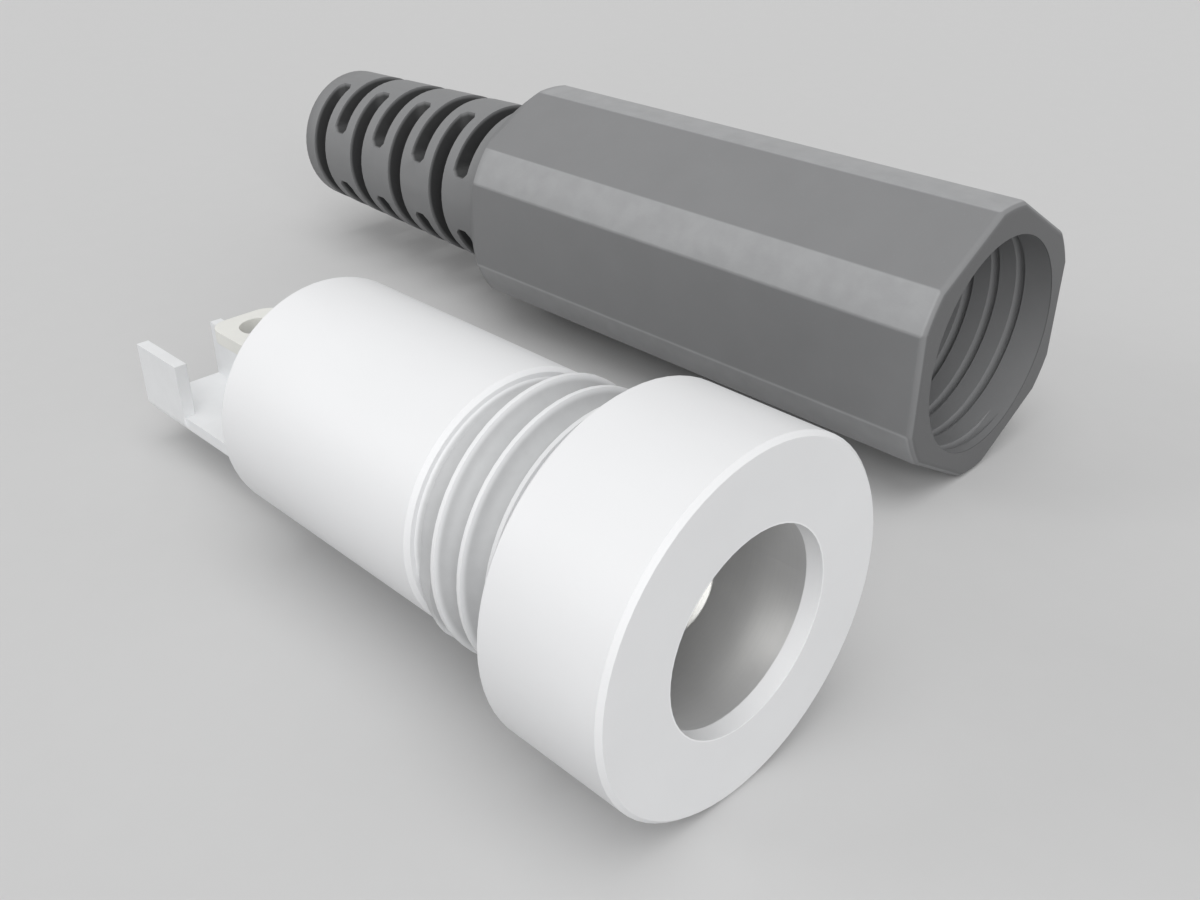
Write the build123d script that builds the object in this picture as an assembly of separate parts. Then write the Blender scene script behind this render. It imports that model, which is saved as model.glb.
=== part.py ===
from build123d import *

import math
import os

# In-line DC power socket, 5.5 mm barrel type, with its screw-on cover taken off and lying beside it.
# Millimetres. The origin is the centre of the socket's mouth. +X points out of the mouth along the
# socket's axis, +Y points towards the cover, +Z is up. The nose of the socket and one rounded corner
# of the cover touch the same level surface.

# Socket body: nose, threaded neck, barrel
nose_d = 10.0
nose_len = 4.0
neck_len = 4.0
barrel_d = 7.7
barrel_len = 9.0
lip_d = 5.55
lip_len = 0.5
edge_break = 0.12

# Screw thread between neck and cover
pitch = 1.0
thread_d = 8.0
thread_root_d = 6.95
crest_width = 0.13
root_land = 0.02
thread_sink = 0.02
flank_steps = 3
thread_start_angle = -84.0
thread_start_back = 0.23
groove_depth = 0.22
groove_mouth = 0.34
groove_floor = 0.10
groove_turns = 4.0
groove_start_angle = 148.0
groove_start_depth = 0.43
ridge_fade = 0.8
groove_fade = 0.34

# Sleeve contact
sleeve_bore = 5.55
sleeve_wall = 0.25
slit_count = 3
slit_width = 0.4
slit_start = 4.5
slit_len = 5.0

# Centre pin
pin_d = 2.5
pin_recess = 2.05
pin_nose_round = 0.25
pin_free_len = 8.8
collar_d = 3.6
collar_len = 0.6
tail_d = 1.2
flare_d = 1.6
flare_len = 0.25

# Rear stack: bush, clamp ring, washer, solder lug
sheet = 0.45
bush_neck_d = 3.2
clamp_ring_d = 6.9
washer_d = 5.0
washer_len = 0.4

# Cable clamp
clamp_bottom = 3.5
clamp_width = 3.1
clamp_len = 9.75
ears_width = 3.24
near_ear_height = 2.46
near_ear_len = 2.75
near_ear_overhang = 0.3
far_ear_height = 2.55
far_ear_len = 2.75
fold_round = 0.2
bend_round = 0.6

# Solder lug
lug_width = 2.5
lug_top = 1.15
lug_reach = 4.2
lug_corner = 0.65
lug_eye_d = 1.35
lug_eye_back = 1.22
lug_bend_round = 0.5

# Cover: six-sided shell
cover_offset = 18.0
corner_height = 0.35
hex_len = 21.8
flat_blend = 0.2
cover_front_round = 0.25
cavity_len = 21.9

# Cover: slotted boot
boot_tip_d = 6.4
boot_len = 15.1
boot_taper = 2.0
cable_bore_d = 4.6
boot_tip_break = 0.12
slot_rows = 8
slot_width = 1.0
slot_pitch = 1.6
slot_corner = 0.25
slot_tip_gap = 0.9
bridge_width = 2.4

# Fits, and how far a cutter runs past what it cuts
press_gap = 0.01
cover_play = 0.05
overrun = 1.0

# Stations along the axis, measured from the mouth towards the tail
nose_r = nose_d / 2
barrel_r = barrel_d / 2
root_r = thread_root_d / 2
crest_r = thread_d / 2
sleeve_r = sleeve_bore / 2
sleeve_outer_r = sleeve_r + sleeve_wall
neck_end = nose_len + neck_len
body_end = neck_end + barrel_len
clamp_ring_end = body_end + sheet
washer_end = clamp_ring_end + washer_len
lug_back = washer_end + sheet
collar_front = pin_recess + pin_free_len
bush_front = collar_front + collar_len
cover_front = nose_len
cover_bore_r = barrel_r + cover_play
hex_end = cover_front + hex_len
boot_tip = hex_end + boot_len
boot_slope = math.tan(math.radians(boot_taper))


def corners(face, points):
    """Vertices of a flat outline that lie at the given (x, y) points."""
    spots = [Vector(x, y, 0) for x, y in points]
    return [v for v in face.vertices() if any((Vector(v) - s).length < 1e-6 for s in spots)]


def turned(outline, broken=(), rounded=()):
    """Solid turned about the X axis from (x, radius) points; broken and rounded list (size, point)."""
    face = make_face(Polyline(*outline, close=True))
    for size, point in broken:
        face = chamfer(corners(face, [point]), size)
    for size, point in rounded:
        face = fillet(corners(face, [point]), size)
    return revolve(face, Axis.X)


def helical(section, radius, turns, back, angle):
    """Sweeps (height, offset) section points along a right-hand helix round the X axis.

    back is the start's distance behind the mouth, and angle its place round the axis, counted
    from +Z towards +Y. The helix climbs towards the mouth.
    """
    path = Helix(pitch=pitch, height=pitch * turns, radius=radius)
    start, heading = path @ 0, path % 0
    plane = Plane(origin=start, x_dir=Vector(start.X, start.Y, 0), z_dir=heading)
    band = sweep(plane * section, path=path, is_frenet=True)
    return Pos(-back, 0, 0) * Rot(180 - angle, 0, 0) * Rot(0, 90, 0) * band


def beyond_fade(radius, lift, back, angle, full):
    """Quarter turn of thread space outside an off-centre cylinder, to be taken off a thread's end.

    back and angle place the quarter's rear end. The cylinder is shifted by lift towards angle full,
    so that the thread comes up to its whole height on that side.
    """
    early = 0.03
    half = pitch / 2
    space = make_face(Polyline((-half, -half), (pitch, -half), (pitch, half), (-half, half), close=True))
    quarter = helical(space, radius, 0.25 + 2 * early, back + early * pitch, angle + 360 * early)
    shift_y, shift_z = lift * math.sin(math.radians(full)), lift * math.cos(math.radians(full))
    return quarter - Pos(-back, shift_y, shift_z) * Rot(0, 90, 0) * Cylinder(radius, 4 * pitch)


def thread_ridge():
    """Ridge of the neck's thread: a narrow crest on two concave flanks that run into the root."""
    height = crest_r - root_r
    half_crest = crest_width / 2
    half_root = (pitch - root_land) / 2
    flank = [(-thread_sink, half_root)]
    for step in range(1, flank_steps + 1):
        turn = math.radians(90 * step / flank_steps)
        across = half_root - (half_root - half_crest) * math.sin(turn)
        flank.append((height * (1 - math.cos(turn)), across))
    far_flank = [(high, -across) for high, across in reversed(flank)]
    section = make_face(Polyline(*flank, *far_flank, close=True))
    back = neck_end - thread_start_back
    turns = (back - nose_len + crest_width) / pitch
    ridge = helical(section, root_r, turns, back, thread_start_angle)
    full = thread_start_angle - 90
    return ridge - beyond_fade(root_r, ridge_fade, back, thread_start_angle, full)


def socket_body():
    """White moulding: round nose, threaded neck and barrel, bored through for the sleeve."""
    seat_r = sleeve_outer_r + press_gap
    nose_front, nose_back = (0, nose_r), (-nose_len, nose_r)
    neck_front, neck_back = (-nose_len, root_r), (-neck_end, root_r)
    barrel_front, barrel_back = (-neck_end, barrel_r), (-body_end, barrel_r)
    outline = [
        (0, lip_d / 2), nose_front, nose_back, neck_front, neck_back, barrel_front, barrel_back,
        (-body_end, seat_r), (-lip_len, seat_r), (-lip_len, lip_d / 2),
    ]
    sharp = (nose_front, nose_back, neck_front, neck_back, barrel_front, barrel_back)
    body = turned(outline, [(edge_break, point) for point in sharp])
    return body + thread_ridge()


def sleeve_contact():
    """Drawn tube that takes the plug's barrel, with closed slits that let it spring."""
    outline = [
        (-lip_len, sleeve_r), (-lip_len, sleeve_outer_r), (-body_end, sleeve_outer_r), (-body_end, sleeve_r),
    ]
    tube = turned(outline)
    slit = Pos(-slit_start - slit_len / 2, 0, -sleeve_r - sleeve_wall / 2)
    slit *= extrude(SlotOverall(slit_len, slit_width), 2 * sleeve_wall, both=True)
    for turn in range(slit_count):
        tube -= Rot(turn * 360 / slit_count, 0, 0) * slit
    return tube


def centre_pin():
    """Turned pin: round-nosed contact, collar on the bush, and a tail flared into the lug."""
    nose = (-pin_recess, pin_d / 2)
    outline = [
        (-pin_recess, 0), nose, (-collar_front, pin_d / 2), (-collar_front, collar_d / 2),
        (-bush_front, collar_d / 2), (-bush_front, tail_d / 2), (-lug_back + flare_len, tail_d / 2),
        (-lug_back, flare_d / 2), (-lug_back, 0),
    ]
    return turned(outline, rounded=[(pin_nose_round, nose)])


def pin_bush():
    """Insulator that holds the pin in the sleeve and keeps it clear of the clamp's ring."""
    hole_r = tail_d / 2 + press_gap
    outline = [
        (-bush_front, hole_r), (-bush_front, sleeve_r - press_gap), (-body_end, sleeve_r - press_gap),
        (-body_end, bush_neck_d / 2), (-clamp_ring_end, bush_neck_d / 2), (-clamp_ring_end, hole_r),
    ]
    return turned(outline)


def insulating_washer():
    """Insulating washer between the clamp's ring and the solder lug."""
    hole_r = tail_d / 2 + press_gap
    outline = [
        (-clamp_ring_end, hole_r), (-clamp_ring_end, washer_d / 2),
        (-washer_end, washer_d / 2), (-washer_end, hole_r),
    ]
    return turned(outline)


def angle_strip(front, drop, reach, width, outer_round, rise):
    """Strip bent to an L: a leg down the YZ plane at front, then a run of length reach to the rear."""
    inner_round = outer_round - sheet
    corner, inner = (-front, drop), (-front - sheet, drop + math.copysign(sheet, -drop))
    outline = [
        (-front, rise), corner, (-front - reach, drop), (-front - reach, inner[1]), inner,
        (-front - sheet, rise),
    ]
    face = Plane.XZ * make_face(Polyline(*outline, close=True))
    for size, spot in ((outer_round, corner), (inner_round, inner)):
        ends = [v for v in face.vertices() if (Vector(v) - Vector(spot[0], 0, spot[1])).length < 1e-6]
        face = fillet(ends, size)
    return extrude(face, width / 2, both=True)


def ear(side, rear, length, height):
    """Upright ear folded up along one side of the clamp, from its rear end forwards."""
    side_y = ears_width / 2
    align_y = Align.MIN if side < 0 else Align.MAX
    block = Pos(-rear, side * side_y, -clamp_bottom) * Box(
        length, sheet, height, align=(Align.MIN, align_y, Align.MIN)
    )
    fold = [
        e for e in block.edges().filter_by(Axis.X)
        if abs(e.center().Y - side * side_y) < 1e-6 and abs(e.center().Z + clamp_bottom) < 1e-6
    ]
    return fillet(fold, fold_round)


def cable_clamp():
    """Folded sheet: ring on the sleeve's end, a strip along the bottom, and two crimp ears."""
    ring = Pos(-body_end - sheet / 2, 0, 0) * Rot(0, 90, 0) * Cylinder(clamp_ring_d / 2, sheet)
    foot = -bush_neck_d / 2
    clamp = ring + angle_strip(body_end, -clamp_bottom, clamp_len, clamp_width, bend_round, foot)
    rear = body_end + clamp_len
    clamp += ear(-1, rear + near_ear_overhang, near_ear_len, near_ear_height)
    clamp += ear(1, rear, far_ear_len, far_ear_height)
    hole = Rot(0, 90, 0) * Cylinder(bush_neck_d / 2 + press_gap, 4 * sheet)
    return clamp - Pos(-body_end, 0, 0) * hole


def solder_lug():
    """Folded sheet: an eye that the pin's tail is flared into, and a tab with a wire hole."""
    tab = angle_strip(washer_end, lug_top, lug_reach, lug_width, lug_bend_round, -lug_width)
    end = -washer_end - lug_reach
    ends = [
        e for e in tab.edges().filter_by(Axis.Z)
        if abs(e.center().X - end) < 1e-6 and abs(abs(e.center().Y) - lug_width / 2) < 1e-6
    ]
    tab = fillet(ends, lug_corner)
    span = 2 * (lug_reach + overrun)
    foot = Rot(0, 90, 0) * Cylinder(lug_width / 2, span)
    block = Box(span, lug_width, lug_top, align=(Align.CENTER, Align.CENTER, Align.MIN))
    tab &= Pos(-washer_end, 0, 0) * (foot + block)
    tab -= Pos(end + lug_eye_back, 0, lug_top) * Cylinder(lug_eye_d / 2, 4 * sheet)
    tail_r = tail_d / 2 + press_gap
    flare_r = flare_d / 2 + press_gap
    seat = [
        (-washer_end, 0), (-washer_end, tail_r), (-lug_back + flare_len, tail_r),
        (-lug_back, flare_r), (-lug_back, 0),
    ]
    return tab - turned(seat)


def boot_r(back):
    """Outer radius of the boot at a station behind the mouth."""
    return boot_tip_d / 2 + (boot_tip - back) * boot_slope


def cover_outside():
    """Six-sided shell with rounded corners, a coned shoulder and the tapered boot."""
    outline = RegularPolygon(nose_r - corner_height, 6, major_radius=False, rotation=90)
    outline &= Circle(nose_r)
    outline = fillet(outline.vertices(), flat_blend)
    shell = extrude(Plane.YZ * outline, hex_len)
    front = shell.faces().sort_by(Axis.X)[-1]
    shell = Pos(-hex_end, 0, 0) * fillet(front.edges(), cover_front_round)
    shoulder_end = hex_end + nose_r - boot_r(hex_end)
    tip = (-boot_tip, boot_tip_d / 2)
    sides = [
        (-hex_end, 0), (-hex_end, nose_r), (-shoulder_end, boot_r(shoulder_end)), tip, (-boot_tip, 0),
    ]
    return shell + turned(sides, [(boot_tip_break, tip)])


def cover_cavity():
    """Inside of the cover: room for the barrel and the clamp, then the cable's way out."""
    cable_r = cable_bore_d / 2
    wide_end = cover_front + cavity_len
    narrow = wide_end + cover_bore_r - cable_r
    outline = [
        (-cover_front + overrun, 0), (-cover_front + overrun, cover_bore_r), (-wide_end, cover_bore_r),
        (-narrow, cable_r), (-boot_tip - overrun, cable_r), (-boot_tip - overrun, 0),
    ]
    return turned(outline)


def thread_groove():
    """Helical groove in the cover's bore, fading in behind its front."""
    reach = 0.15
    spread = (groove_mouth - groove_floor) / 2 * (1 + reach / groove_depth)
    half_floor = groove_floor / 2
    section = make_face(Polyline(
        (-reach, -half_floor - spread), (groove_depth, -half_floor),
        (groove_depth, half_floor), (-reach, half_floor + spread), close=True,
    ))
    front = cover_front + groove_start_depth
    groove = helical(section, cover_bore_r, groove_turns, front + pitch * groove_turns, groove_start_angle)
    full = groove_start_angle + 90
    return groove - beyond_fade(cover_bore_r, groove_fade, front + pitch / 4, full, full)


def slot_cutters():
    """Saw-cut slots of the boot: each row is cut in from two sides, the next row from the others."""
    height = boot_r(hex_end) + overrun - bridge_width / 2
    cut = Rectangle(slot_width, height)
    cut = chamfer(cut.vertices().group_by(Axis.Y)[0], slot_corner)
    side = extrude(Pos(0, bridge_width / 2 + height / 2) * cut, 2 * nose_r, both=True)
    pair = side + mirror(side, Plane.XZ)
    for row in range(slot_rows):
        back = boot_tip - slot_tip_gap - slot_width / 2 - row * slot_pitch
        yield Pos(-back, 0, 0) * Rot(90 * (row % 2), 0, 0) * pair


def cover():
    """Grey moulding that screws over the barrel onto the neck, with its strain-relief boot."""
    shell = cover_outside() - cover_cavity()
    shell -= thread_groove()
    for cutter in slot_cutters():
        shell -= cutter
    return Pos(0, cover_offset, 0) * shell


pieces = (
    socket_body, sleeve_contact, centre_pin, pin_bush, insulating_washer, cable_clamp, solder_lug, cover,
)
os.makedirs("parts", exist_ok=True)
for piece in pieces:
    export_step(piece(), os.path.join("parts", piece.__name__ + ".step"))
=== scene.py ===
"""Finishes and studio for the in-line DC power socket and its screw-on cover.

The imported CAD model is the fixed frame, and each of its pieces gets its own finish. The metal
pieces and the insulators are shown as they are. The two mouldings are shown as smooth copies, and
the cover's copy has its shoulder cut down to the six flats. The stage adds the floor, the lamps
and the camera.
"""

import math

import bpy
from mathutils import Matrix, Vector


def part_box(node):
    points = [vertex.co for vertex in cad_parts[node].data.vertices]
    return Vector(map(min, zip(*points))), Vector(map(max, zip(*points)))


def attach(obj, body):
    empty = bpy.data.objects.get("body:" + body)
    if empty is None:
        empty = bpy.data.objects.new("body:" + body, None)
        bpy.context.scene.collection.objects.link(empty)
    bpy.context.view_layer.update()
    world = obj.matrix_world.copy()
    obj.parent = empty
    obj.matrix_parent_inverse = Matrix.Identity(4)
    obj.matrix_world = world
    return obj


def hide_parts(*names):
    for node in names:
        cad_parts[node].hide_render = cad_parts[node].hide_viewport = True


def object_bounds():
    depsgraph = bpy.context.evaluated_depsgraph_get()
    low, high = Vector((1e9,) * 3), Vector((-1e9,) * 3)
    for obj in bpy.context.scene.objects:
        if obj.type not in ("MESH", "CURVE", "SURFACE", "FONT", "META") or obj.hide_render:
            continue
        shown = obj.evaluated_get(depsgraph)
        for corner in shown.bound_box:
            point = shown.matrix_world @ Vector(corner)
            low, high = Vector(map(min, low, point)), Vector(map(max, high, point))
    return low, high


bl_info = {
    "name": "DC Power Socket",
    "version": (1, 0, 0),
    "blender": (4, 5, 0),
    "location": "View3D > Sidebar > Socket",
    "description": "Finishes an in-line DC power socket and its cover, and lights them on a pale floor",
    "category": "Object",
}

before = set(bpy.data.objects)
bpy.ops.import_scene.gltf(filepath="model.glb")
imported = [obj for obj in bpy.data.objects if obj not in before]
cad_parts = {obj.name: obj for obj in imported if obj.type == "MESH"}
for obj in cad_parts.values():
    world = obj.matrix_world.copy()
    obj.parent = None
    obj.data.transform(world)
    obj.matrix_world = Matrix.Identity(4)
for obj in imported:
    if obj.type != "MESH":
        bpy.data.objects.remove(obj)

# Box of the CAD model, and the one body that the two smooth copies ride on
CAD_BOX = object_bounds()
BODY = "root"

# A millimetre in metres
MM = 0.001

# Places and sizes on the pieces, in millimetres, that the finishes and the cover's trim follow
SOCKET_AXIS = (0.0, 0.0, 0.0)
LIP_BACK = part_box("sleeve_contact")[1].x / MM
LIP_R = 2.8
NECK_BACK, NECK_FRONT = -8.0, -4.0
THREAD_CREST_R = 4.0
COVER_LOW, COVER_HIGH = (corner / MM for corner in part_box("cover"))
COVER_AXIS = (0.0, round((COVER_LOW.y + COVER_HIGH.y) / 2, 2), 0.0)
COVER_CORNER_R = round((COVER_HIGH.z - COVER_LOW.z) / 2, 2)
CORNER_HEIGHT = 0.35
COVER_FLAT_R = COVER_CORNER_R - CORNER_HEIGHT
COVER_SIDES = 6
HEX_LENGTH = 21.8
HEX_BACK = COVER_HIGH.x - HEX_LENGTH
SHOULDER_REACH = 2.0
BOOT_TIP_R = 3.2
BOOT_SLOPE = math.tan(math.radians(2.0))
SLOTS_BACK, SLOTS_FRONT = COVER_LOW.x + 0.9, COVER_LOW.x + 13.1

# How wide a finish fades at its border, in millimetres
FADE = 0.1

# Gaps that joining and cutting close, and how far past its range a face may reach, in millimetres
JOIN_GAP = 0.002
CUT_GAP = 0.001
FACE_SLACK = 0.01

# Edges flatter than these are shaded smooth, in degrees
BODY_SMOOTH, COVER_SMOOTH = 38.0, 50.0

# Rays that round a softened edge, and the grey that is painted as shade into the thread's valleys
EDGE_RAYS = 6
VALLEY_SHADE_GREY = (0.46, 0.465, 0.47)

# Where each lamp shines from, and how wide it looks from the object in degrees
KEY_FROM, KEY_WIDTH = (0.20, -0.20, 0.96), 50.0
FILL_FROM, FILL_WIDTH = (0.72, -0.62, 0.30), 56.0
EDGE_FROM, EDGE_WIDTH = (-0.57, -0.68, 0.46), 20.0

# Kinds of ray that see the floor and the backdrop in their own colours
DIRECT_RAYS = ("Camera", "Glossy", "Transmission")

# Colour of the light from all round
WHITE = (1.0, 1.0, 1.0, 1.0)

# Numbers of the colour sockets of a Mix node: the two inputs and the result
MIX_FIRST, MIX_SECOND, MIX_RESULT = 6, 7, 2

# Camera: sensor width in millimetres, and the nearest and farthest distance it sees in metres
SENSOR_WIDTH = 36.0
NEAREST, FARTHEST = 0.001, 10.0


# Shader maths

class Wire:
    """A node's output socket that can be used in arithmetic."""

    def __init__(self, nodes, socket):
        self.nodes = nodes
        self.socket = socket

    def __add__(self, other):
        return self.nodes.math("ADD", self, other)

    def __radd__(self, other):
        return self.nodes.math("ADD", other, self)

    def __sub__(self, other):
        return self.nodes.math("SUBTRACT", self, other)

    def __rsub__(self, other):
        return self.nodes.math("SUBTRACT", other, self)

    def __mul__(self, other):
        return self.nodes.math("MULTIPLY", self, other)

    def __rmul__(self, other):
        return self.nodes.math("MULTIPLY", other, self)

    def __pow__(self, other):
        return self.nodes.math("POWER", self, other)

    def __rpow__(self, other):
        return self.nodes.math("POWER", other, self)

    def between(self, low, high):
        """0 below low and 1 above high, with a smooth step in between."""
        sockets = {"Value": self, "From Min": low, "From Max": high, "To Min": 0.0, "To Max": 1.0}
        return self.nodes.node("ShaderNodeMapRange", {"interpolation_type": "SMOOTHSTEP"}, sockets)

    def within(self, low, high):
        """1 between low and high, fading to 0 over a short way outside them."""
        return self.between(low - FADE, low) * (1 - self.between(high, high + FADE))


class Nodes:
    """The emptied node tree of a material or a world."""

    def __init__(self, owner):
        owner.use_nodes = True
        self.tree = owner.node_tree
        self.tree.nodes.clear()

    def node(self, kind, settings=None, sockets=None, output=0):
        """Adds a node, sets its settings and then its sockets, and returns one of its outputs, or none."""
        node = self.tree.nodes.new(kind)
        for setting, value in (settings or {}).items():
            setattr(node, setting, value)
        for socket, value in (sockets or {}).items():
            self.feed(node.inputs[socket], value)
        return None if output is None else Wire(self, node.outputs[output])

    def feed(self, socket, value):
        """Links a wire to a socket, or sets the socket's own value."""
        if isinstance(value, Wire):
            self.tree.links.new(value.socket, socket)
        else:
            socket.default_value = value

    def math(self, operation, *values):
        """One Math node."""
        return self.node("ShaderNodeMath", {"operation": operation}, dict(enumerate(values)))

    def seen_directly(self):
        """1 on rays from the camera and in reflections, and 0 on rays that only light things."""
        kinds = [self.node("ShaderNodeLightPath", output="Is %s Ray" % kind) for kind in DIRECT_RAYS]
        return self.math("MAXIMUM", kinds[0], self.math("MAXIMUM", kinds[1], kinds[2]))


class Finish(Nodes):
    """A material under construction, with one Principled shader."""

    def __init__(self, name, constants):
        self.material = bpy.data.materials.new(name)
        super().__init__(self.material)
        surface = self.node("ShaderNodeBsdfPrincipled", None, constants)
        self.node("ShaderNodeOutputMaterial", None, {"Surface": surface}, output=None)
        self.shader = surface.socket.node

    def place(self, centre=SOCKET_AXIS, stretch=(1.0, 1.0, 1.0)):
        """Object coordinates in millimetres from a centre, stretched along each axis."""
        coords = self.node("ShaderNodeTexCoord", output="Object")
        sockets = {
            "Vector": coords,
            "Location": tuple(-c * s for c, s in zip(centre, stretch)),
            "Scale": tuple(s / MM for s in stretch),
        }
        return self.node("ShaderNodeMapping", {"vector_type": "POINT"}, sockets)

    def parts(self, vector):
        """The x, y and z of a vector."""
        first = self.node("ShaderNodeSeparateXYZ", None, {"Vector": vector})
        return [Wire(self, part) for part in first.socket.node.outputs]

    def axis_distance(self, point):
        """Distance in millimetres from the X axis of a placed point."""
        _, across, up = self.parts(point)
        return (across * across + up * up) ** 0.5

    def noise(self, vector, scale, detail=2.0, rough=0.5):
        """Noise between 0 and 1 whose patches are about 1/scale millimetres wide."""
        sockets = {"Vector": vector, "Scale": scale, "Detail": detail, "Roughness": rough}
        return self.node("ShaderNodeTexNoise", {"noise_dimensions": "3D"}, sockets)

    def cells(self, vector, scale):
        """Distance to the nearest of scattered points, for specks and pits."""
        sockets = {"Vector": vector, "Scale": scale}
        return self.node("ShaderNodeTexVoronoi", {"feature": "F1"}, sockets)

    def blend(self, amount, first, second):
        """Colour mixed from first to second by amount."""
        sockets = {"Factor": amount, MIX_FIRST: first, MIX_SECOND: second}
        return self.node("ShaderNodeMix", {"data_type": "RGBA"}, sockets, output=MIX_RESULT)

    def varied(self, amount, colour, low, high):
        """A colour that goes from a low to a high level of itself by amount."""
        return self.blend(amount, rgba(colour, low), rgba(colour, high))

    def softened(self, radius_mm):
        """Normal that is rounded over within radius_mm of every edge."""
        return self.node("ShaderNodeBevel", {"samples": EDGE_RAYS}, {"Radius": radius_mm * MM})

    def bump(self, height, depth_mm, normal):
        """Bump on a normal, from a height between 0 and 1 that stands depth_mm deep."""
        sockets = {"Height": height, "Distance": depth_mm * MM, "Strength": 1.0, "Normal": normal}
        return self.node("ShaderNodeBump", None, sockets)

    def apply(self, **patterns):
        """Feeds the shader's sockets by their names in small letters, and returns the material."""
        for name, value in patterns.items():
            self.feed(self.shader.inputs[name.replace("_", " ").title()], value)
        return self.material


def rgba(colour, level=1.0):
    """A colour of the panel as four numbers, made darker or lighter."""
    return (colour[0] * level, colour[1] * level, colour[2] * level, 1.0)


# Finishes

def moulded_white(colour):
    """Satin white moulding: fine tool grain, faint flow shade, a lip painted lighter and painted shade in
    the thread.
    """
    finish = Finish("socket_plastic", {"Specular IOR Level": 0.45})
    place = finish.place()
    along, _, _ = finish.parts(place)
    radius = finish.axis_distance(place)
    flow = finish.noise(finish.place(stretch=(0.35, 1.0, 1.0)), scale=0.35, detail=3.0)
    shade = finish.varied(flow, colour, low=0.965, high=1.03)

    # Painted shade: the thread's valleys are darkened towards grey, as the shade that falls in them.
    in_neck = along.within(NECK_BACK + FADE, NECK_FRONT - FADE)
    valley = 1 - radius.between(THREAD_CREST_R - 2 * FADE, THREAD_CREST_R - FADE / 4)
    least_valley_shade, more_valley_shade = 0.7, 0.2
    valley_shade = in_neck * valley * (least_valley_shade + finish.noise(place, scale=2.2, detail=3.0) * more_valley_shade)
    shade = finish.blend(valley_shade, shade, rgba(VALLEY_SHADE_GREY))

    # Painted light: the lip inside the mouth is made lighter than the body, as the light that falls on it.
    lip = along.between(LIP_BACK, LIP_BACK + FADE / 5) * (1 - radius.between(LIP_R, LIP_R + FADE / 5))
    shade = finish.blend(lip, shade, rgba(colour, level=1.12))

    grain = finish.noise(place, scale=16.0, detail=3.0, rough=0.6)
    ripple = finish.noise(place, scale=1.1)
    base_rough, flow_rough, grain_rough = 0.38, 0.08, 0.07
    rough = base_rough + flow * flow_rough + grain * grain_rough
    normal = finish.bump(ripple, depth_mm=0.006, normal=finish.softened(radius_mm=0.02))
    normal = finish.bump(grain, depth_mm=0.0012, normal=normal)
    return finish.apply(base_color=shade, roughness=rough, normal=normal)


def moulded_grey(colour):
    """Matt grey moulding: spark-eroded texture, corners with real wear and a painted highlight, painted
    shade on the front and in the slots.
    """
    finish = Finish("cover_plastic", {"Specular IOR Level": 0.5})
    place = finish.place(centre=COVER_AXIS)
    along, _, _ = finish.parts(place)
    radius = finish.axis_distance(place)
    mottle = finish.noise(place, scale=0.55, detail=3.0)
    shade = finish.varied(mottle, colour, low=0.95, high=1.05)

    # Corner bands: a painted highlight makes them lighter, and real wear makes them a little smoother.
    wear_highlight_patches = finish.noise(place, scale=1.3)
    least_wear_highlight, more_wear_highlight = 0.6, 0.6
    wear_highlight_from, wear_highlight_fully = COVER_CORNER_R - 0.045, COVER_CORNER_R - 0.01
    corner = radius.between(wear_highlight_from, wear_highlight_fully)
    on_hexagon = along.between(HEX_BACK - 4 * FADE, HEX_BACK + 4 * FADE)
    wear_and_highlight = corner * on_hexagon * (least_wear_highlight + wear_highlight_patches * more_wear_highlight)
    shade = finish.blend(wear_and_highlight, shade, rgba(colour, level=1.6))

    # Painted shade: the cover's front face is made darker, as the shade that falls on it.
    painted_front_shade = along.between(COVER_HIGH.x - FADE / 2, COVER_HIGH.x - FADE / 5)
    shade = finish.blend(painted_front_shade, shade, rgba(colour, level=0.6))

    speck_centre = (3.0, COVER_AXIS[1], 0.0)
    speck_core, speck_rim, speck_strength = 0.05, 0.14, 0.10
    scatter = finish.cells(finish.place(centre=speck_centre), scale=3.2)
    specks = 1 - scatter.between(speck_core, speck_rim)
    shade = finish.blend(specks * speck_strength, shade, rgba(colour, level=1.5))

    # Painted shade: the inside of the boot's slots is made much darker, as the shade that falls in them.
    boot_side = (along - COVER_LOW.x) * BOOT_SLOPE + BOOT_TIP_R
    below_side = 1 - radius.between(boot_side - 2 * FADE, boot_side - FADE / 4)
    painted_slot_shade = along.within(SLOTS_BACK, SLOTS_FRONT) * below_side
    shade = finish.blend(painted_slot_shade, shade, rgba(colour, level=0.22))

    pits = finish.cells(place, scale=9.0)
    grain = finish.noise(place, scale=22.0, detail=3.0, rough=0.65)
    pit_share, grain_share = 0.45, 0.55
    texture = pits * pit_share + grain * grain_share
    base_rough, grain_rough, rubbed_rough = 0.50, 0.12, 0.10
    rough = base_rough + grain * grain_rough - wear_and_highlight * rubbed_rough
    normal = finish.bump(texture, depth_mm=0.0035, normal=finish.softened(radius_mm=0.012))
    return finish.apply(base_color=shade, roughness=rough, normal=normal)


def turned_metal(name, colour, metallic, base_rough, line_scale, line_depth):
    """Plated metal off the lathe or the drawing die: fine rings round the axis."""
    finish = Finish(name, {"Metallic": metallic})
    place = finish.place()
    rings = finish.noise(finish.place(stretch=(1.0, 0.02, 0.02)), scale=line_scale, detail=3.0, rough=0.7)
    haze = finish.noise(place, scale=0.8, detail=3.0)
    ring_strength, ring_rough, haze_rough = 0.3, 0.14, 0.06
    shade = finish.varied(haze, colour, low=0.92, high=1.04)
    shade = finish.blend(rings * ring_strength, shade, rgba(colour, level=0.8))
    rough = base_rough + rings * ring_rough + haze * haze_rough
    normal = finish.bump(rings, depth_mm=line_depth, normal=finish.softened(radius_mm=0.02))
    return finish.apply(base_color=shade, roughness=rough, normal=normal)


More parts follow.
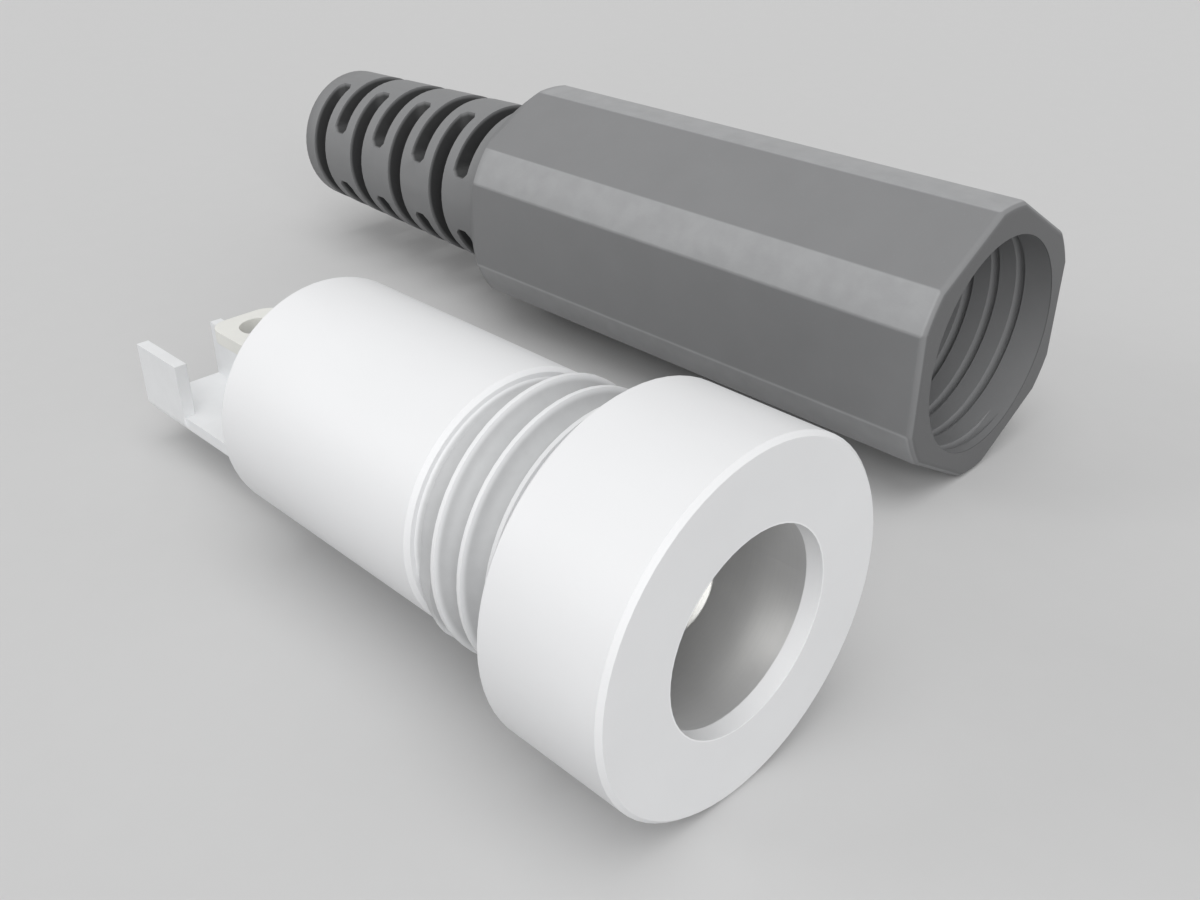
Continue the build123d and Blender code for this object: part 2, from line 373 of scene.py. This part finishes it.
def plated_sheet(name, colour):
    """Tin-plated sheet: rolling grain along the strip and a faint crystal mottle."""
    finish = Finish(name, {"Metallic": 0.35})
    place = finish.place()
    grain = finish.noise(finish.place(stretch=(0.06, 1.0, 1.0)), scale=18.0, detail=3.0, rough=0.7)
    spangle = finish.cells(place, scale=1.6)
    stain = finish.noise(place, scale=0.9, detail=4.0, rough=0.6)
    spangle_strength, base_rough, grain_rough, stain_rough = 0.12, 0.34, 0.12, 0.08
    shade = finish.varied(stain, colour, low=0.93, high=1.04)
    shade = finish.blend(spangle * spangle_strength, shade, rgba(colour, level=0.85))
    rough = base_rough + grain * grain_rough + stain * stain_rough
    normal = finish.bump(grain, depth_mm=0.0015, normal=finish.softened(radius_mm=0.03))
    return finish.apply(base_color=shade, roughness=rough, normal=normal)


def dull_insulator(name, colour, grain_scale):
    """Dull pressed or moulded insulator with a coarse grain."""
    finish = Finish(name, {"Specular IOR Level": 0.35})
    grain = finish.noise(finish.place(), scale=grain_scale, detail=4.0, rough=0.65)
    base_rough, grain_rough = 0.55, 0.2
    shade = finish.varied(grain, colour, low=0.85, high=1.15)
    normal = finish.bump(grain, depth_mm=0.004, normal=finish.softened(radius_mm=0.03))
    return finish.apply(base_color=shade, roughness=base_rough + grain * grain_rough, normal=normal)


def floor_finish(colour, bounce):
    """Pale paper floor that throws less light back on the object than it shows."""
    finish = Finish("floor_paper", {"Specular IOR Level": 0.2, "Roughness": 0.9})
    fibres = finish.noise(finish.place(), scale=0.8, detail=3.0)
    shade = finish.varied(fibres, colour, low=0.99, high=1.01)
    return finish.apply(base_color=finish.blend(finish.seen_directly(), rgba(bounce), shade))


# Pieces

def dress(node, material):
    """Gives a CAD node its finish."""
    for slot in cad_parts[node].material_slots:
        slot.material = material


def merged_copy(node, name, material):
    """A copy of a CAD node with its loose triangles joined and a finish of its own."""
    bpy.ops.object.select_all(action="DESELECT")
    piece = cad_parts[node].copy()
    piece.data = piece.data.copy()
    piece.name = name
    piece.data.materials.clear()
    piece.data.materials.append(material)
    bpy.context.scene.collection.objects.link(piece)
    bpy.context.view_layer.objects.active = piece
    piece.select_set(True)
    bpy.ops.mesh.customdata_custom_splitnormals_clear()
    bpy.ops.object.mode_set(mode="EDIT")
    bpy.ops.mesh.select_all(action="SELECT")
    bpy.ops.mesh.remove_doubles(threshold=JOIN_GAP * MM)
    bpy.ops.object.mode_set(mode="OBJECT")
    return piece


def select_faces(piece, back, front):
    """Selects the faces that lie wholly between two places on the X axis, in millimetres."""
    bpy.ops.object.mode_set(mode="EDIT")
    bpy.ops.mesh.select_mode(type="FACE")
    bpy.ops.mesh.select_all(action="DESELECT")
    bpy.ops.object.mode_set(mode="OBJECT")
    mesh = piece.data
    for face in mesh.polygons:
        places = [mesh.vertices[corner].co.x / MM for corner in face.vertices]
        face.select = back < min(places) and max(places) < front


def trim_shoulder(piece):
    """Cuts the cover's shoulder down to the six flats, which run back into it, and closes the cuts."""
    for side in range(COVER_SIDES):
        turn = math.tau * side / COVER_SIDES
        outward = Vector((0.0, math.cos(turn), math.sin(turn)))
        flat = Vector(COVER_AXIS) + outward * COVER_FLAT_R
        select_faces(piece, HEX_BACK - SHOULDER_REACH, HEX_BACK + FACE_SLACK)
        bpy.ops.object.mode_set(mode="EDIT")
        bpy.ops.mesh.bisect(
            plane_co=flat * MM, plane_no=outward, use_fill=True, clear_outer=True, threshold=CUT_GAP * MM
        )
        bpy.ops.object.mode_set(mode="OBJECT")


def smooth_and_ride(piece, node, smooth_below):
    """Shades a copy smooth over edges flatter than an angle, and puts it in the place of its node."""
    bpy.ops.object.shade_smooth_by_angle(angle=math.radians(smooth_below))
    weighting = piece.modifiers.new("even_faces", "WEIGHTED_NORMAL")
    weighting.keep_sharp = True
    bpy.ops.object.modifier_apply(modifier=weighting.name)
    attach(piece, BODY)
    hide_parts(node)


# Panel settings

def colour_setting(name, description, default):
    """A colour swatch."""
    return bpy.props.FloatVectorProperty(
        name=name, description=description, subtype="COLOR", size=3, min=0.0, max=1.0, default=default
    )


def strength_setting(name, description, default):
    """A strength of a lamp, of the light from all round or of the backdrop."""
    return bpy.props.FloatProperty(name=name, description=description, min=0.0, default=default)


def angle_setting(name, description, degrees):
    """An angle, shown in degrees."""
    return bpy.props.FloatProperty(
        name=name, description=description, subtype="ANGLE", unit="ROTATION", default=math.radians(degrees)
    )


class SocketSettings(bpy.types.PropertyGroup):
    """Colours of the socket's pieces."""

    body_colour: colour_setting("Body", "White of the socket's moulding", (0.83, 0.835, 0.845))
    sleeve_colour: colour_setting("Sleeve", "Nickel of the sleeve in the mouth", (0.79, 0.79, 0.79))
    pin_colour: colour_setting("Pin", "Plating of the centre pin", (0.87, 0.865, 0.835))
    clamp_colour: colour_setting("Clamp", "Plating of the cable clamp", (0.88, 0.89, 0.90))
    lug_colour: colour_setting("Lug", "Plating of the solder lug", (0.89, 0.89, 0.85))
    bush_colour: colour_setting("Bush", "Insulator behind the pin", (0.10, 0.10, 0.105))
    washer_colour: colour_setting("Washer", "Fibre washer under the lug", (0.13, 0.11, 0.095))


class CoverSettings(bpy.types.PropertyGroup):
    """Look of the cover."""

    colour: colour_setting("Cover", "Grey of the cover's moulding", (0.211, 0.213, 0.217))


class StageSettings(bpy.types.PropertyGroup):
    """Floor, lamps and camera."""

    floor_colour: colour_setting("Floor", "Colour of the floor as it is seen", (0.63, 0.63, 0.63))
    bounce_colour: colour_setting("Floor bounce", "Colour that the floor throws back", (0.36, 0.36, 0.36))
    floor_size: bpy.props.FloatProperty(
        name="Floor size", description="Width of the floor", unit="LENGTH", default=3.0
    )
    key_light: strength_setting("Key lamp", "Strength of the lamp overhead", 1.03)
    fill_light: strength_setting("Fill lamp", "Strength of the lamp in front of the mouth", 1.65)
    edge_light: strength_setting("Edge lamp", "Strength of the low lamp on the left", 0.3)
    room_light: strength_setting("Room light", "Strength of the even light from all round", 0.42)
    backdrop: strength_setting("Backdrop", "Brightness of the backdrop, where 1 is white", 0.8)
    camera_place: bpy.props.FloatVectorProperty(
        name="Camera", description="Place of the camera", subtype="XYZ", unit="LENGTH", size=3,
        default=(13.573 * MM, -18.52 * MM, 18.01 * MM),
    )
    camera_turn: angle_setting("Camera turn", "Angle from the socket's axis round to the camera", 45.0)
    camera_rise: angle_setting("Camera rise", "Angle that the camera looks down by", 30.0)
    lens: bpy.props.FloatProperty(
        name="Lens", description="Focal length on the sensor's width", unit="CAMERA", default=37.08
    )


# Operators

class SOCKET_OT_body(bpy.types.Operator):
    """Finishes the white moulding"""

    bl_idname = "socket.body"
    bl_label = "Finish the body"

    def execute(self, context):
        plastic = moulded_white(context.scene.socket_settings.body_colour)
        piece = merged_copy("socket_body", "threaded_body", plastic)
        smooth_and_ride(piece, "socket_body", BODY_SMOOTH)
        return {"FINISHED"}


class SOCKET_OT_contacts(bpy.types.Operator):
    """Finishes the sleeve and the centre pin"""

    bl_idname = "socket.contacts"
    bl_label = "Finish the contacts"

    def execute(self, context):
        colours = context.scene.socket_settings
        sleeve = turned_metal(
            "sleeve_plating", colours.sleeve_colour,
            metallic=0.62, base_rough=0.26, line_scale=14.0, line_depth=0.001,
        )
        pin = turned_metal(
            "pin_plating", colours.pin_colour,
            metallic=1.0, base_rough=0.16, line_scale=20.0, line_depth=0.0008,
        )
        dress("sleeve_contact", sleeve)
        dress("centre_pin", pin)
        return {"FINISHED"}


class SOCKET_OT_terminals(bpy.types.Operator):
    """Finishes the cable clamp and the solder lug"""

    bl_idname = "socket.terminals"
    bl_label = "Finish the terminals"

    def execute(self, context):
        colours = context.scene.socket_settings
        dress("cable_clamp", plated_sheet("clamp_plating", colours.clamp_colour))
        dress("solder_lug", plated_sheet("lug_plating", colours.lug_colour))
        return {"FINISHED"}


class SOCKET_OT_insulators(bpy.types.Operator):
    """Finishes the bush and the washer"""

    bl_idname = "socket.insulators"
    bl_label = "Finish the insulators"

    def execute(self, context):
        colours = context.scene.socket_settings
        dress("pin_bush", dull_insulator("bush_plastic", colours.bush_colour, grain_scale=14.0))
        dress("insulating_washer", dull_insulator("washer_fibre", colours.washer_colour, grain_scale=7.0))
        return {"FINISHED"}


class SOCKET_OT_cover(bpy.types.Operator):
    """Trims the shoulder of the grey cover and finishes it"""

    bl_idname = "socket.cover"
    bl_label = "Finish the cover"

    def execute(self, context):
        plastic = moulded_grey(context.scene.cover_settings.colour)
        piece = merged_copy("cover", "slotted_cover", plastic)
        trim_shoulder(piece)
        smooth_and_ride(piece, "cover", COVER_SMOOTH)
        return {"FINISHED"}


def lay_floor(stage):
    """A wide floor under the object's lowest point."""
    low, high = (Vector(corner) for corner in CAD_BOX)
    middle = (low + high) / 2
    bpy.ops.object.select_all(action="DESELECT")
    bpy.ops.mesh.primitive_plane_add(size=stage.floor_size, location=(middle.x, middle.y, low.z))
    floor = bpy.context.active_object
    floor.name = "floor"
    bpy.ops.object.transform_apply(location=True, rotation=True, scale=True)
    floor.data.materials.append(floor_finish(stage.floor_colour, stage.bounce_colour))


def add_lamp(name, direction, width, strength, mirrored=True):
    """A far soft lamp in a direction from the object, which shiny pieces mirror or not."""
    lamp = bpy.data.lights.new(name, "SUN")
    lamp.angle = math.radians(width)
    lamp.energy = strength
    holder = bpy.data.objects.new(name, lamp)
    holder.visible_glossy = mirrored
    bpy.context.scene.collection.objects.link(holder)
    holder.rotation_euler = Vector(direction).to_track_quat("Z", "Y").to_euler()


def even_room(strength, backdrop):
    """World light of an even strength that cameras and reflections see as a pale backdrop."""
    world = bpy.data.worlds.new("studio")
    bpy.context.scene.world = world
    nodes = Nodes(world)
    dim, pale = (
        nodes.node("ShaderNodeBackground", None, {"Color": WHITE, "Strength": level})
        for level in (strength, backdrop)
    )
    mix = nodes.node("ShaderNodeMixShader", None, {0: nodes.seen_directly(), 1: dim, 2: pale})
    nodes.node("ShaderNodeOutputWorld", None, {"Surface": mix}, output=None)


def set_camera(stage):
    """The camera at the photograph's angle, level with the horizon."""
    camera = bpy.data.cameras.new("camera")
    camera.sensor_fit = "HORIZONTAL"
    camera.sensor_width = SENSOR_WIDTH
    camera.lens = stage.lens
    camera.clip_start = NEAREST
    camera.clip_end = FARTHEST
    holder = bpy.data.objects.new("camera", camera)
    bpy.context.scene.collection.objects.link(holder)
    turn, rise = stage.camera_turn, stage.camera_rise
    right = Vector((math.sin(turn), math.cos(turn), 0.0))
    back = Vector((math.cos(rise) * math.cos(turn), -math.cos(rise) * math.sin(turn), math.sin(rise)))
    matrix = Matrix((right, back.cross(right), back)).transposed().to_4x4()
    matrix.translation = Vector(stage.camera_place)
    holder.matrix_world = matrix
    bpy.context.scene.camera = holder


class SOCKET_OT_stage(bpy.types.Operator):
    """Lays the floor and sets the lamps and the camera"""

    bl_idname = "socket.stage"
    bl_label = "Set the stage"

    def execute(self, context):
        stage = context.scene.stage_settings
        lay_floor(stage)
        add_lamp("key_lamp", KEY_FROM, KEY_WIDTH, stage.key_light, mirrored=False)
        add_lamp("fill_lamp", FILL_FROM, FILL_WIDTH, stage.fill_light)
        add_lamp("edge_lamp", EDGE_FROM, EDGE_WIDTH, stage.edge_light)
        even_room(stage.room_light, stage.backdrop)
        set_camera(stage)
        context.scene.view_settings.view_transform = "Standard"
        return {"FINISHED"}


class SOCKET_PT_panel(bpy.types.Panel):
    """Sidebar panel with every setting and step"""

    bl_idname = "SOCKET_PT_panel"
    bl_label = "DC power socket"
    bl_space_type = "VIEW_3D"
    bl_region_type = "UI"
    bl_category = "Socket"

    def draw(self, context):
        scene = context.scene
        for settings in (scene.socket_settings, scene.cover_settings, scene.stage_settings):
            box = self.layout.box()
            for name in settings.__annotations__:
                box.prop(settings, name)
        for operator in STEPS:
            self.layout.operator(operator.bl_idname)


GROUPS = {
    "socket_settings": SocketSettings,
    "cover_settings": CoverSettings,
    "stage_settings": StageSettings,
}
STEPS = (
    SOCKET_OT_body, SOCKET_OT_contacts, SOCKET_OT_terminals, SOCKET_OT_insulators, SOCKET_OT_cover,
    SOCKET_OT_stage,
)


def register():
    """Registers the settings, the steps and the panel."""
    for name, group in GROUPS.items():
        bpy.utils.register_class(group)
        setattr(bpy.types.Scene, name, bpy.props.PointerProperty(type=group))
    for operator in STEPS:
        bpy.utils.register_class(operator)
    bpy.utils.register_class(SOCKET_PT_panel)


def unregister():
    """Removes what register added."""
    bpy.utils.unregister_class(SOCKET_PT_panel)
    for operator in reversed(STEPS):
        bpy.utils.unregister_class(operator)
    for name, group in reversed(GROUPS.items()):
        delattr(bpy.types.Scene, name)
        bpy.utils.unregister_class(group)


def main():
    """Runs every step in order."""
    register()
    bpy.ops.socket.body()
    bpy.ops.socket.contacts()
    bpy.ops.socket.terminals()
    bpy.ops.socket.insulators()
    bpy.ops.socket.cover()
    bpy.ops.socket.stage()


if __name__ == "__main__":
    main()
